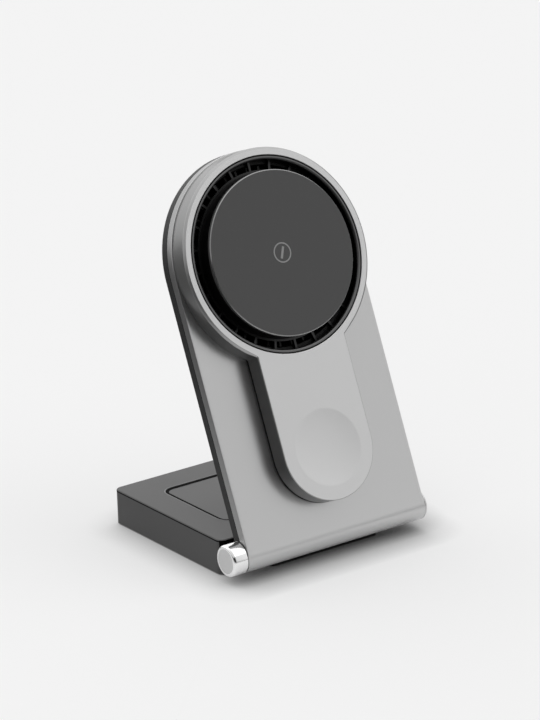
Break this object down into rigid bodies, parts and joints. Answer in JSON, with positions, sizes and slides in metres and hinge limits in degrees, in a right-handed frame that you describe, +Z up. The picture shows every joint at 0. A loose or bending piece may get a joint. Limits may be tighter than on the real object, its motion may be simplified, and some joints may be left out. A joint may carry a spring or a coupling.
{
  "type": "foldable wireless charging station",
  "caption": "Desk charging stand: a leaning arched panel with a vented round phone pad and a watch tongue folds back on a hinge over a slab base with an earbud pad.",
  "frame": {"origin": "centre of the base's underside, on the desk", "axes": "+Z up, X along the fold hinge, +Y from the hinge towards the back of the base"},
  "size_m": [0.0831, 0.0794, 0.1353],
  "materials": {
    "base_black": "fine matt moulded",
    "inlay_dark": "soft touch",
    "panel_grey": "fine bead-blasted, anodised",
    "cover_dark": "satin moulded",
    "cap_metal": "turned and polished",
    "seal_black": "matt",
    "bezel_black": "gloss",
    "vent_black": "matt",
    "pad_dark": "satin soft touch",
    "silicone": "matt",
    "copper": "enamelled litz wire",
    "magnet": "nickel plated",
    "ferrite": "sintered",
    "board_green": "solder mask",
    "steel": "turned",
    "hinge_black": "black coated",
    "alloy": "raw",
    "bronze": "sintered"
  },
  "bodies": {
    "base": {"base_housing": "base_black", "earbud_pad": "inlay_dark", "earbud_coil": "copper", "earbud_ferrite": "ferrite", "base_bottom_cover": "base_black", "base_board": "board_green", "usb_c_port": "steel", "ballast_plate": "steel", "base_screws": "steel", "foot_pad": "silicone", "front_foot": "silicone", "hinge_bracket": "hinge_black", "bracket_screws": "steel", "hinge_pin": "steel"},
    "panel": {"hinge_block": "hinge_black", "hinge_screws": "steel", "front_shell": "panel_grey", "back_cover": "cover_dark", "end_cap_left": "cap_metal", "end_cap_right": "cap_metal", "module_gasket": "seal_black", "module_shell": "panel_grey", "module_screws": "steel", "watch_coil": "copper", "watch_magnet": "magnet", "watch_ferrite": "ferrite", "charge_board": "board_green", "pad_face": "pad_dark", "pad_carrier": "vent_black", "magnet_ring": "magnet", "phone_coil": "copper", "phone_ferrite": "ferrite", "cooling_plate": "alloy", "vent_guard": "vent_black", "bezel_ring": "bezel_black", "fan_frame": "vent_black", "fan_bearing": "bronze"},
    "fan": {"fan_rotor": "vent_black", "fan_shaft": "steel"}
  },
  "joints": [
    {"name": "panel_fold", "type": "hinge", "parent": "base", "child": "panel", "pos_m": [0, -0.03581, 0.0131], "axis": [-1, 0, 0], "range_deg": [0, 67.45]},
    {"name": "fan_spin", "type": "hinge", "parent": "panel", "child": "fan", "pos_m": [0, -0.00282, 0.09661], "axis": [0, -0.9235, 0.3835], "continuous": true}
  ]
}
